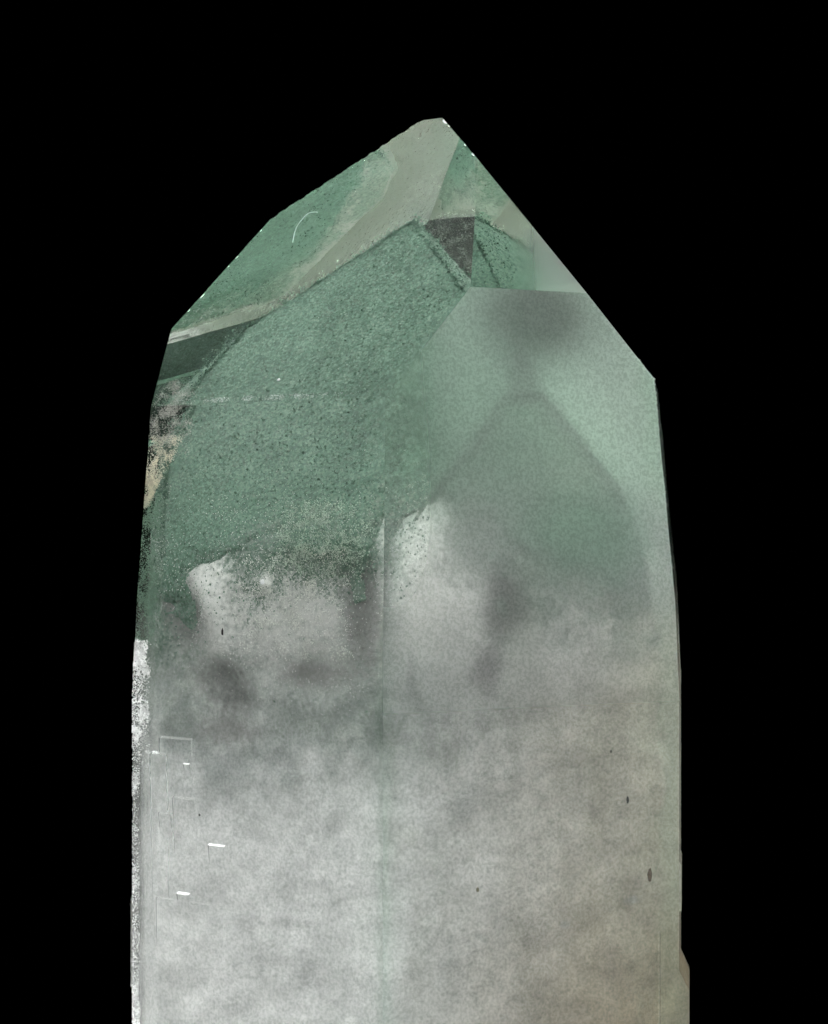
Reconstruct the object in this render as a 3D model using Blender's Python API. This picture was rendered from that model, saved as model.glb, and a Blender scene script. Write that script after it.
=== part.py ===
"""A quartz point with a green fuchsite phantom sealed in its tip.

The outer crystal is cut from a block by its own faces: a six-sided prism that tapers a little
towards a six-faced point. The phantom is a thin green hood that grew on an older, smaller crystal
of the same shape, so its faces are parallel to the outer ones. The clear quartz round the hood is
parted level, so that the hood sits in a pocket: the tip is the younger growth, and the base holds
the older crystal, whose point fills the hood. Metres, +Z up along the crystal's long axis, the cut
base on Z = 0, and the front on the -Y side.
"""

import math
import random
from collections import namedtuple

import bmesh
import bpy
from mathutils import Matrix, Vector

UP = Vector((0.0, 0.0, 1.0))

# Six faces, each given by the way it looks, the prism's distance from the long axis, its upper
# taper, and the height at which its pyramid plane would meet that axis. The three that meet the
# axis lower are the large ones, and they make the apex.
Face = namedtuple("Face", "azimuth distance taper meets_axis")
FACES = {
    "left": Face(175.0, 0.01770, 3.5, 0.0793),
    "front_left": Face(235.0, 0.01680, 4.6, 0.0728),
    "front_right": Face(295.0, 0.01640, 4.6, 0.0785),
    "right": Face(352.0, 0.01782, 5.4, 0.0753),
    "back_right": Face(55.0, 0.01640, 4.6, 0.0788),
    "back_left": Face(115.0, 0.01620, 4.6, 0.0730),
}
PYRAMID_SLOPE = 51.79  # degrees from level, the same on all six
MIDDLE_TAPER = 2.4
TAPER_STARTS = 0.0346  # the prism is upright below this height
TAPER_GROWS = 0.0405
APEX_CHIP = 0.0730  # the apex is broken off level here

# The hood: how far each of its faces lies inside the outer one, measured square to it.
PRISM_INSET = 0.00145
LEFT_PRISM_INSET = 0.00195
POINT_INSET = 0.0063
SMALL_FACE_INSET = 0.0047
HOOD_THICKNESS = 0.0007
# The height of the hood's ragged lower rim, going round from +X anticlockwise.
RIM_HEIGHTS = (
    *(0.0405, 0.0388, 0.0422, 0.0384, 0.0412, 0.0376),
    *(0.0370, 0.0398, 0.0436, 0.0412, 0.0428, 0.0395),
)

PARTING = 0.0346
GAP = 0.0003  # between neighbours

BASE_CUT = 0.0

# Chips: how deep and how wide each is, as shares of its length.
CHIP_DEPTH = 0.13
CHIP_WIDTH = 0.8
RIDGE_RISE = 52.0  # degrees up that the ridges of the point look
SHOULDER_RISE = 30.0
BASE_RIM_RISE = -45.0

# Growth steps. A top's height is given where the face would be upright: where the face tapers in,
# the leaning top runs higher, so this one ends at about 51 mm.
BACK_STEP = 0.0484
BACK_PROUD = {"back_left": 0.00016}
FOOT_PROUD = {"right": 0.00063, "front_right": 0.00010}
FOOT_ACROSS = (-0.0200, -0.0010)  # from past the front edge to just short of the face's middle
STEP_DEPTH = 0.0012  # how far a growth step is sunk into the face it stands on
STEP_SHY = 0.00002  # keeps a step off the neighbouring faces' planes
STEP_TOP_RISE = 25.0  # degrees up that the leaning top of a step looks

BLOCK = 0.1  # wider and higher than the crystal
BELOW = -0.01


def outward(azimuth):
    """The level unit vector that looks this way, anticlockwise from +X."""
    angle = math.radians(azimuth)
    return Vector((math.cos(angle), math.sin(angle), 0.0))


def along(azimuth):
    """The level unit vector that runs to the right across a face, seen from outside."""
    return UP.cross(outward(azimuth))


def tilted(azimuth, rise):
    """The unit vector that looks this way and up by so many degrees."""
    lean = math.radians(rise)
    return outward(azimuth) * math.cos(lean) + UP * math.sin(lean)


def prism_planes(face, inset):
    """(point, normal) of the upright, the middle and the upper stretch of one prism face."""
    middle_in = (TAPER_GROWS - TAPER_STARTS) * math.tan(math.radians(MIDDLE_TAPER))
    low = outward(face.azimuth) * face.distance + UP * TAPER_STARTS
    high = outward(face.azimuth) * (face.distance - middle_in) + UP * TAPER_GROWS
    for point, rise in ((low, 0.0), (low, MIDDLE_TAPER), (high, face.taper)):
        normal = tilted(face.azimuth, rise)
        yield point - normal * inset, normal


def pyramid_plane(face, inset):
    normal = tilted(face.azimuth, 90.0 - PYRAMID_SLOPE)
    return UP * face.meets_axis - normal * inset, normal


def no_insets(name):
    return 0.0, 0.0


def hood_insets(name, deeper=0.0):
    """How far the hood's prism face and pyramid face lie inside the outer ones."""
    prism = LEFT_PRISM_INSET if name == "left" else PRISM_INSET
    small = name in ("front_right", "back_right")
    pyramid = SMALL_FACE_INSET if small else POINT_INSET
    return prism + deeper, pyramid + deeper


def cut_away(mesh, point, normal):
    """Removes what lies in front of the plane and closes the cut."""
    everything = mesh.verts[:] + mesh.edges[:] + mesh.faces[:]
    cut = bmesh.ops.bisect_plane(
        mesh, geom=everything, dist=1e-7, plane_co=point, plane_no=normal, clear_outer=True
    )
    edges = [item for item in cut["geom_cut"] if isinstance(item, bmesh.types.BMEdge)]
    if edges:
        bmesh.ops.edgeloop_fill(mesh, edges=edges)


def block_between(bottom, top):
    mesh = bmesh.new()
    size = Matrix.Diagonal((BLOCK, BLOCK, top - bottom, 1.0))
    centre = Matrix.Translation(UP * (top + bottom) / 2)
    bmesh.ops.create_cube(mesh, size=1.0, matrix=centre @ size)
    return mesh


def crystal_shape(bottom, top, insets):
    """The crystal between two heights. insets(name) gives its prism and pyramid insets."""
    mesh = block_between(bottom, top)
    for name, face in FACES.items():
        prism, pyramid = insets(name)
        for point, normal in prism_planes(face, prism):
            cut_away(mesh, point, normal)
        cut_away(mesh, *pyramid_plane(face, pyramid))
    bmesh.ops.recalc_face_normals(mesh, faces=mesh.faces[:])
    return mesh


def material(name, colour, roughness, transmission):
    made = bpy.data.materials.new(name)
    made.use_nodes = True
    shader = made.node_tree.nodes["Principled BSDF"]
    shader.inputs["Base Color"].default_value = (*colour, 1.0)
    shader.inputs["Roughness"].default_value = roughness
    shader.inputs["Metallic"].default_value = 0.0
    shader.inputs["Transmission Weight"].default_value = transmission
    shader.inputs["IOR"].default_value = 1.544
    made.diffuse_color = (*colour, 1.0)
    return made


def object_from(mesh, name, look=None):
    data = bpy.data.meshes.new(name)
    mesh.to_mesh(data)
    mesh.free()
    made = bpy.data.objects.new(name, data)
    bpy.context.scene.collection.objects.link(made)
    if look:
        data.materials.append(look)
    return made


def helper(mesh, name):
    made = object_from(mesh, name)
    made.hide_render = True
    made.display_type = "WIRE"
    return made


def boolean(target, tool, operation):
    step = target.modifiers.new(f"{operation} {tool.name}", "BOOLEAN")
    step.operation = operation
    step.solver = "EXACT"
    step.object = tool


def ragged_block():
    """A block whose top is a fan of ridges and dips, which leaves the hood its ragged rim."""
    mesh = bmesh.new()
    count = len(RIM_HEIGHTS)
    foot = mesh.verts.new(UP * BELOW)
    peak = mesh.verts.new(UP * sum(RIM_HEIGHTS) / count)
    low, high = [], []
    for number, height in enumerate(RIM_HEIGHTS):
        place = outward(360.0 * number / count) * BLOCK / 2
        # The fan slopes from its middle to here, and meets the hood's wall at the rim's height.
        slope = (height - peak.co.z) * (BLOCK / 2) / FACES["right"].distance
        low.append(mesh.verts.new(place + UP * BELOW))
        high.append(mesh.verts.new(place + UP * (peak.co.z + slope)))
    for i in range(count):
        j = (i + 1) % count
        mesh.faces.new((foot, low[j], low[i]))
        mesh.faces.new((peak, high[i], high[j]))
        mesh.faces.new((low[i], low[j], high[j], high[i]))
    bmesh.ops.recalc_face_normals(mesh, faces=mesh.faces[:])
    return helper(mesh, "below_the_rim")


def growth_step(name, bottom, top, proud, across=None):
    """A slab that stands proud of the faces in proud, its top leaning in like the point.

    The first face in proud is the one it lies on. across is its left and right end along that
    face, seen from outside, from the face's own middle line, or None where it wraps the edges.
    """
    face = FACES[next(iter(proud))]
    out = outward(face.azimuth)
    mesh = crystal_shape(bottom, BLOCK, lambda side: (-proud.get(side, -STEP_SHY), STEP_SHY))
    cut_away(mesh, out * (face.distance - STEP_DEPTH), -out)
    cut_away(mesh, out * face.distance + UP * top, tilted(face.azimuth, STEP_TOP_RISE))
    if across:
        sideways = along(face.azimuth)
        cut_away(mesh, sideways * across[0], -sideways)
        cut_away(mesh, sideways * across[1], sideways)
    bmesh.ops.recalc_face_normals(mesh, faces=mesh.faces[:])
    return helper(mesh, name)


def meeting_point(*planes):
    """Where three planes meet."""
    rows = Matrix([normal for _, normal in planes])
    return rows.inverted() @ Vector([normal.dot(point) for point, normal in planes])


def chip(name, centre, length, width, direction):
    """A scoop-shaped cutter, longer than it is wide, that leaves a shell-like chip on an edge."""
    mesh = bmesh.new()
    turn = direction.to_track_quat("Z", "Y").to_matrix().to_4x4()
    size = Matrix.Diagonal((width / 2, width / 2, length / 2, 1.0))
    bmesh.ops.create_icosphere(
        mesh, subdivisions=2, radius=1.0, matrix=Matrix.Translation(centre) @ turn @ size
    )
    return helper(mesh, name)


def chips_along(name, start, end, out, count, longest):
    """A row of chips on the edge from start to end, uneven in place, length and depth."""
    uneven = random.Random(name)
    run = end - start
    for number in range(count):
        place = (number + uneven.uniform(0.3, 0.7)) / count
        length = longest * uneven.uniform(0.45, 1.0)
        depth = CHIP_DEPTH * length
        width = CHIP_WIDTH * length
        centre = start + run * place + out * (width / 2 - depth)
        yield chip(f"{name}_{number}", centre, length, width, run.normalized())


def make_tip(look):
    """The younger growth above the parting, with the pocket that holds the hood."""
    tip = object_from(crystal_shape(BASE_CUT, APEX_CHIP, no_insets), "quartz_tip", look)
    # A growth step across the back, which shows as a level line through the clear quartz.
    boolean(tip, growth_step("step_back", PARTING - STEP_DEPTH, BACK_STEP, BACK_PROUD), "UNION")
    below_parting = helper(block_between(BELOW, PARTING + GAP / 2), "below_parting")
    boolean(tip, below_parting, "DIFFERENCE")
    pocket = crystal_shape(BELOW, BLOCK, lambda name: hood_insets(name, -GAP))
    boolean(tip, helper(pocket, "pocket"), "DIFFERENCE")

    pyramid = {name: pyramid_plane(face, 0.0) for name, face in FACES.items()}
    left_prism = list(prism_planes(FACES["left"], 0.0))[-1]
    apex = meeting_point(pyramid["front_left"], pyramid["right"], pyramid["back_left"])
    left_corner = meeting_point(pyramid["front_left"], pyramid["left"], pyramid["back_left"])
    right_corner = meeting_point(pyramid["front_left"], pyramid["front_right"], pyramid["right"])
    shoulder = meeting_point(pyramid["front_left"], pyramid["left"], left_prism)
    left_out = tilted(FACES["left"].azimuth, RIDGE_RISE)
    right_out = tilted((FACES["front_left"].azimuth + FACES["right"].azimuth) / 2, RIDGE_RISE)
    low_left = (FACES["left"].azimuth + FACES["front_left"].azimuth) / 2
    low_left_out = tilted(low_left, SHOULDER_RISE)
    chips = [
        *chips_along("ridge_chip", apex, left_corner, left_out, 13, 0.0012),
        *chips_along("right_chip", apex, right_corner, right_out, 4, 0.0011),
        *chips_along("left_chip", left_corner, shoulder, low_left_out, 5, 0.0008),
    ]
    for cutter in chips:
        boolean(tip, cutter, "DIFFERENCE")


def make_hood(look):
    """The phantom: a thin green shell, open below, with a ragged rim."""
    hood = object_from(crystal_shape(PARTING, BLOCK, hood_insets), "fuchsite_phantom", look)
    inside = crystal_shape(BELOW, BLOCK, lambda name: hood_insets(name, HOOD_THICKNESS))
    boolean(hood, helper(inside, "hood_inside"), "DIFFERENCE")
    boolean(hood, ragged_block(), "DIFFERENCE")


def make_base(look):
    """The lower prism, and the older crystal's point that fills the hood."""
    base = object_from(crystal_shape(BELOW, TAPER_GROWS, no_insets), "quartz_base", look)
    steps = (
        growth_step("step_back_low", 0.0280, BACK_STEP, BACK_PROUD),
        growth_step("step_tall", 0.0262, 0.0319, {"front_left": 0.00024}, (-0.0083, -0.0056)),
        growth_step("step_narrow", 0.0205, 0.0309, {"front_left": 0.00036}, (-0.0090, -0.0076)),
        growth_step("step_short", 0.0240, 0.0282, {"front_left": 0.00034}, (-0.0071, -0.0052)),
        growth_step("step_low", 0.0170, 0.0216, {"front_left": 0.00018}, (-0.0086, -0.0030)),
        growth_step("step_side", 0.0155, 0.0215, {"left": 0.00016}, (0.0046, 0.0092)),
        growth_step("step_right", 0.0209, 0.0241, {"right": 0.00014}, (-0.0088, -0.0030)),
        growth_step("step_foot", BELOW / 2, 0.0172, FOOT_PROUD, FOOT_ACROSS),
    )
    for step in steps:
        boolean(base, step, "UNION")
    boolean(base, helper(block_between(2 * BELOW, BASE_CUT), "below_the_cut"), "DIFFERENCE")
    above_parting = helper(block_between(PARTING - GAP / 2, BLOCK), "above_parting")
    boolean(base, above_parting, "DIFFERENCE")

    # Chips round the rim of the cut base.
    faces = list(FACES.values())
    cut = (UP * BASE_CUT, -UP)
    corners = []
    for one, other in zip(faces, faces[1:] + faces[:1]):
        sides = [(outward(face.azimuth) * face.distance, outward(face.azimuth)) for face in (one, other)]
        corners.append(meeting_point(cut, *sides))
    for number, face in enumerate(faces):
        start, end = corners[number - 1], corners[number]
        out = tilted(face.azimuth, BASE_RIM_RISE)
        for cutter in chips_along(f"base_chip_{number}", start, end, out, 3, 0.0021):
            boolean(base, cutter, "DIFFERENCE")

    core = crystal_shape(PARTING / 2, BLOCK, lambda name: hood_insets(name, HOOD_THICKNESS + GAP))
    foot = crystal_shape(PARTING / 3, min(RIM_HEIGHTS) - 2 * GAP, hood_insets)
    boolean(base, helper(core, "older_crystal"), "UNION")
    boolean(base, helper(foot, "older_crystal_foot"), "UNION")


def main():
    for obj in list(bpy.data.objects):
        bpy.data.objects.remove(obj, do_unlink=True)
    make_tip(material("clear_quartz", (0.86, 0.89, 0.86), 0.05, 1.0))
    make_hood(material("fuchsite", (0.14, 0.27, 0.18), 0.55, 0.0))
    make_base(material("milky_quartz", (0.55, 0.57, 0.53), 0.25, 0.6))


main()
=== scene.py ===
"""Dresses the quartz point in its own frame: one clear crystal, the fuchsite phantom sealed in it,
the milky older crystal below and inside, small inclusions, soft studio light and the camera.
Metres, +Z up, the front on the -Y side.
"""

import math
import random
from collections import namedtuple

import bmesh
import bpy
import numpy as np
from mathutils import Matrix, Vector, noise


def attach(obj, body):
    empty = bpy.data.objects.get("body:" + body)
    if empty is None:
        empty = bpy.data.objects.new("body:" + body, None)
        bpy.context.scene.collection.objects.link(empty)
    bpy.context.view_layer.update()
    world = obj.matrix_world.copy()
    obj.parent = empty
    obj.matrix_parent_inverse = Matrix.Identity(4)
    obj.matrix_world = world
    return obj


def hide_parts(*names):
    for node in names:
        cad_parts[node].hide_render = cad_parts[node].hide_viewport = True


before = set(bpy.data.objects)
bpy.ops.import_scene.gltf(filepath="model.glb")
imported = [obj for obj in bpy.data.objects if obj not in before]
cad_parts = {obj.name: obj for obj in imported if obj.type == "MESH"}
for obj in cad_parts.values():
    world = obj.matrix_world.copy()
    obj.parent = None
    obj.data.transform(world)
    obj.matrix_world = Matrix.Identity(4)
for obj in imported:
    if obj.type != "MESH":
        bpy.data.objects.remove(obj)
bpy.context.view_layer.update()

UP = Vector((0.0, 0.0, 1.0))
MM = 0.001

# The crystal's faces, as in the part: the way each looks, the prism's distance from the long axis,
# its upper taper, and the height at which its pyramid plane would meet that axis.
Face = namedtuple("Face", "azimuth distance taper meets_axis")
FACES = {
    "left": Face(175.0, 0.01770, 3.5, 0.0793),
    "front_left": Face(235.0, 0.01680, 4.6, 0.0728),
    "front_right": Face(295.0, 0.01640, 4.6, 0.0785),
    "right": Face(352.0, 0.01782, 5.4, 0.0753),
    "back_right": Face(55.0, 0.01640, 4.6, 0.0788),
    "back_left": Face(115.0, 0.01620, 4.6, 0.0730),
}
PYRAMID_SLOPE = 51.79
MIDDLE_TAPER = 2.4
TAPER_STARTS = 0.0346
TAPER_GROWS = 0.0405
APEX_CHIP = 0.0730
PRISM_INSET = 0.00145
LEFT_PRISM_INSET = 0.00195
POINT_INSET = 0.0063
SMALL_FACE_INSET = 0.0047
BACK_STEP = 0.0484
BACK_PROUD = {"back_left": 0.00016}
FOOT_PROUD = {"right": 0.00063, "front_right": 0.00010}
FOOT_ACROSS = (-0.0200, -0.0010)  # from past the front edge to just short of the face's middle
STEP_DEPTH = 0.0012
STEP_SHY = 0.00002
STEP_TOP_RISE = 25.0
LEDGE_RISE = 62.0  # the small steps in front have narrow, nearly level tops
BASE_CUT = 0.0
BLOCK = 0.1
BELOW = -0.01

# The photograph's view: the camera looks level, from about the middle of the height it shows.
CAMERA_AT = (-0.00024, -0.1369, 0.0462)
FOCAL_MM = 70.3
FLOOR_RADIUS = 0.042  # its far edge stays just under the photograph's frame

QUARTZ_IOR = 1.544
BARE_QUARTZ = (0.33, 0.36, 0.30)  # the older crystal where no green covers it

# The hood and the milky crystal are grids round the hood's own axis.
COLUMNS = 300
TURNS = np.linspace(0.0, 2 * math.pi, COLUMNS, endpoint=False)
HOOD_ROWS = 170
HOOD_INNER_ROWS = 16
CORE_ROWS = 200
ROWS_CROWD = 1.15  # above 1, the hood's rows lie closer together towards its top
HOOD_THICKNESS = 0.0007
RIM_UNDER_GREEN = 0.0035
RIM_HEIGHTS = (0.0350, 0.0440)
BORDER_GREEN = 0.6  # how green the dust is where the hood ends and the older crystal shows
CORE_UNDER_HOOD = 0.00035
CORE_FOOT = 0.0006
BROAD_PATCH = 0.0025  # patches wider than this lie under the green dust

# How low the green reaches, going round: azimuth and height. Behind on the right it is bare.
GREEN_REACHES = (
    (0.0, 0.0420), (40.0, 0.0560), (60.0, 0.0600), (70.0, 0.0565), (84.0, 0.0500), (96.0, 0.0460),
    (108.0, 0.0448), (140.0, 0.0425), (175.0, 0.0372), (205.0, 0.0400), (222.0, 0.0436),
    (245.0, 0.0432), (268.0, 0.0455), (285.0, 0.0430), (315.0, 0.0405), (340.0, 0.0415),
    (360.0, 0.0420),
)

# Lumps and hollows of the milky crystal, at their azimuth and height: half their width and height,
# how far they stand out, and how light they are. Metres and degrees.
Patch = namedtuple("Patch", "azimuth height wide tall turn bulge shade")
PATCHES = (
    Patch(240.0, 0.0395, 0.0056, 0.0034, 0.0, 0.0002, 0.62),
    Patch(305.0, 0.0380, 0.0040, 0.0026, 0.0, 0.0003, 0.58),
    Patch(277.0, 0.0408, 0.0034, 0.0036, 10.0, 0.0006, 0.72),
    Patch(270.5, 0.0433, 0.0014, 0.0034, -22.0, 0.0011, 1.00),
    Patch(214.0, 0.0418, 0.0017, 0.0011, -10.0, 0.0005, 0.82),
    Patch(218.0, 0.0400, 0.0010, 0.0022, -15.0, 0.0009, 0.86),
    Patch(233.0, 0.0418, 0.0004, 0.0005, 0.0, 0.0004, 1.00),
    Patch(259.5, 0.0403, 0.0010, 0.0030, 8.0, -0.0009, 0.10),
    Patch(247.0, 0.0363, 0.0020, 0.0007, 45.0, -0.0003, 0.22),
    Patch(211.5, 0.0390, 0.0013, 0.0015, 30.0, -0.0007, 0.15),
    Patch(207.0, 0.0408, 0.0010, 0.0016, 30.0, -0.0004, 0.20),
    Patch(219.5, 0.0357, 0.0016, 0.0010, -30.0, -0.0005, 0.10),
    Patch(224.5, 0.0345, 0.0014, 0.0008, -25.0, -0.0004, 0.10),
    Patch(222.5, 0.0325, 0.0020, 0.0009, 0.0, -0.0004, 0.24),
    Patch(289.7, 0.0402, 0.0011, 0.0019, 10.0, -0.0009, 0.04),
    Patch(285.5, 0.0364, 0.0008, 0.0013, -28.0, -0.0006, 0.14),
    Patch(267.5, 0.0268, 0.0006, 0.0004, 0.0, 0.0001, 0.88),
    Patch(306.0, 0.0206, 0.0003, 0.0002, 45.0, 0.0001, 0.50),
    Patch(322.5, 0.0217, 0.0005, 0.0002, 0.0, 0.0001, 0.50),
)

# Fine grains sprinkled in or on a face: where along it, how high and how deep, how many, how long
# and how thick each is, how they gather into streaks along and up the face, their colour, how much
# narrower the sprinkle is at its foot, and what the grains are made of.
Sprinkle = namedtuple(
    "Sprinkle",
    "name face across height depth count long thick streaks colour narrows slot",
    defaults=(0.0, "milky_quartz"),
)
SPRINKLES = (
    ("edge_dust", "front_left", (-0.0116, -0.0090), (0.0362, 0.0480), (0.0001, 0.0006),
     5000, 0.00006, 0.7, (900.0, 500.0), (0.24, 0.38, 0.28), 0.0, "fuchsite"),
    ("right_haze", "front_right", (0.0084, 0.0107), (0.0390, 0.0590), (0.0001, 0.0006),
     3600, 0.00008, 0.7, (600.0, 300.0), (0.56, 0.66, 0.57)),
    ("corner_wisps", "front_left", (-0.0106, -0.0068), (0.0496, 0.0548), (0.0002, 0.0007),
     5200, 0.00005, 0.4, (900.0, 1100.0), (0.60, 0.58, 0.54)),
    ("corner_fibres", "front_left", (-0.0110, -0.0074), (0.0464, 0.0512), (0.0002, 0.0008),
     4600, 0.00008, 0.4, (1100.0, 900.0), (0.92, 0.88, 0.72), 0.8),
    ("beads", "front_left", (-0.0006, 0.0080), (0.0420, 0.0470), (0.0007, 0.0012),
     3200, 0.00007, 0.8, (1500.0, 1500.0), (0.48, 0.60, 0.48)),
    ("mottle", "front_left", (-0.0032, 0.0070), (0.0370, 0.0442), (0.0008, 0.0013),
     3000, 0.00006, 0.7, (800.0, 800.0), (0.85, 0.88, 0.80)),
    ("window_bubbles", "back_right", (-0.0024, 0.0040), (0.0540, 0.0612), (0.00005, 0.0003),
     2600, 0.00004, 0.8, (1300.0, 1300.0), (0.36, 0.39, 0.35)),
    ("edge_crust", "front_left", (-0.0120, -0.0092), (0.0296, 0.0380), (-0.00002, 0.00006),
     3600, 0.00008, 0.6, (900.0, 500.0), (0.88, 0.90, 0.88)),
    ("low_crust", "front_left", (-0.0113, -0.0101), (0.0010, 0.0310), (-0.00002, 0.00006),
     5000, 0.00007, 0.6, (700.0, 300.0), (0.94, 0.96, 0.94)),
    ("shoulder_line", "front_left", (-0.0098, 0.0075), (0.0531, 0.0535), (0.00008, 0.00016),
     700, 0.00005, 0.5, (600.0, 600.0), (0.70, 0.76, 0.72)),
)

# Single specks just inside a face: where on which face, half their width and height, their colour.
SPECK_DEPTH = 0.00007
DARK_SPECK = (0.015, 0.015, 0.012)
WHITE_SPECK = (0.85, 0.88, 0.87)
SPECKS = (
    ("front_left", -0.00332, 0.03869, 0.00010, 0.00022, DARK_SPECK),
    ("front_left", -0.00507, 0.02710, 0.00008, 0.00008, DARK_SPECK),
    ("front_right", 0.00542, 0.05480, 0.00013, 0.00008, DARK_SPECK),
    ("front_right", 0.00747, 0.03480, 0.00009, 0.00016, DARK_SPECK),
    ("front_right", 0.00564, 0.03130, 0.00008, 0.00010, (0.10, 0.10, 0.09)),
    ("front_right", 0.00684, 0.02821, 0.00009, 0.00024, DARK_SPECK),
    ("front_right", 0.00845, 0.02340, 0.00016, 0.00045, (0.10, 0.06, 0.015)),
    ("front_right", -0.00366, 0.02343, 0.00010, 0.00014, (0.16, 0.15, 0.06)),
    ("front_left", -0.00061, 0.05448, 0.00014, 0.00011, WHITE_SPECK),
    ("front_left", -0.00024, 0.04187, 0.00016, 0.00018, WHITE_SPECK),
)

# A fine curved crack high on the front left face: along it and up, in metres.
CRACK = (
    (-0.00492, 0.06648), (-0.00560, 0.06660), (-0.00596, 0.06620), (-0.00619, 0.06532),
    (-0.00570, 0.06430),
)
CRACK_DEPTH = 0.0002


def outward(azimuth):
    """The level unit vector that looks this way, anticlockwise from +X."""
    angle = math.radians(azimuth)
    return Vector((math.cos(angle), math.sin(angle), 0.0))


def along(azimuth):
    """The level unit vector that runs to the right across a face, seen from outside."""
    return UP.cross(outward(azimuth))


def tilted(azimuth, rise):
    """The unit vector that looks this way and up by so many degrees."""
    lean = math.radians(rise)
    return outward(azimuth) * math.cos(lean) + UP * math.sin(lean)


def prism_planes(face, inset):
    """(point, normal) of the upright, the middle and the upper stretch of one prism face."""
    middle_in = (TAPER_GROWS - TAPER_STARTS) * math.tan(math.radians(MIDDLE_TAPER))
    low = outward(face.azimuth) * face.distance + UP * TAPER_STARTS
    high = outward(face.azimuth) * (face.distance - middle_in) + UP * TAPER_GROWS
    for point, rise in ((low, 0.0), (low, MIDDLE_TAPER), (high, face.taper)):
        normal = tilted(face.azimuth, rise)
        yield point - normal * inset, normal


def pyramid_plane(face, inset):
    normal = tilted(face.azimuth, 90.0 - PYRAMID_SLOPE)
    return UP * face.meets_axis - normal * inset, normal


def no_insets(name):
    return 0.0, 0.0


def hood_insets(name, deeper=0.0):
    """How far the hood's prism face and pyramid face lie inside the outer ones."""
    prism = LEFT_PRISM_INSET if name == "left" else PRISM_INSET
    small = name in ("front_right", "back_right")
    pyramid = SMALL_FACE_INSET if small else POINT_INSET
    return prism + deeper, pyramid + deeper


def planes_of(insets):
    """Every plane of the shape, as arrays of normals and of offsets along them."""
    found = []
    for name, face in FACES.items():
        prism, pyramid = insets(name)
        found += [*prism_planes(face, prism), pyramid_plane(face, pyramid)]
    normals = np.array([normal for _, normal in found])
    offsets = np.array([normal.dot(point) for point, normal in found])
    return normals, offsets


def on_face(name, across, height, depth):
    """The point so far along a face from its middle line, so high, and so deep inside it."""
    face = FACES[name]
    out = outward(face.azimuth)
    planes = [*prism_planes(face, depth), pyramid_plane(face, depth)]
    far = min(normal.dot(point - UP * height) / normal.dot(out) for point, normal in planes)
    return out * far + along(face.azimuth) * across + UP * height


def meeting_point(*planes):
    """Where three planes meet."""
    rows = Matrix([normal for _, normal in planes])
    return rows.inverted() @ Vector([normal.dot(point) for point, normal in planes])


def hood_apex(deeper=0.0):
    large = ("front_left", "right", "back_left")
    return meeting_point(*(pyramid_plane(FACES[name], hood_insets(name, deeper)[1]) for name in large))


# The grids of the hood and of the milky crystal go round the upright axis through this point.
APEX = hood_apex()


def cut_away(mesh, point, normal):
    """Removes what lies in front of the plane and closes the cut."""
    everything = mesh.verts[:] + mesh.edges[:] + mesh.faces[:]
    cut = bmesh.ops.bisect_plane(
        mesh, geom=everything, dist=1e-7, plane_co=point, plane_no=normal, clear_outer=True
    )
    edges = [item for item in cut["geom_cut"] if isinstance(item, bmesh.types.BMEdge)]
    if edges:
        bmesh.ops.edgeloop_fill(mesh, edges=edges)


def crystal_shape(bottom, top, insets):
    """The crystal between two heights. insets(name) gives its prism and pyramid insets."""
    mesh = bmesh.new()
    size = Matrix.Diagonal((BLOCK, BLOCK, top - bottom, 1.0))
    centre = Matrix.Translation(UP * (top + bottom) / 2)
    bmesh.ops.create_cube(mesh, size=1.0, matrix=centre @ size)
    for name, face in FACES.items():
        prism, pyramid = insets(name)
        for point, normal in prism_planes(face, prism):
            cut_away(mesh, point, normal)
        cut_away(mesh, *pyramid_plane(face, pyramid))
    bmesh.ops.recalc_face_normals(mesh, faces=mesh.faces[:])
    return mesh


def object_with(data, name):
    made = bpy.data.objects.new(name, data)
    bpy.context.scene.collection.objects.link(made)
    return made


def object_from(mesh, name):
    data = bpy.data.meshes.new(name)
    mesh.to_mesh(data)
    mesh.free()
    return object_with(data, name)


def object_of_lists(name, points, faces):
    data = bpy.data.meshes.new(name)
    data.from_pydata(points, [], faces)
    data.update()
    return object_with(data, name)


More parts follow.
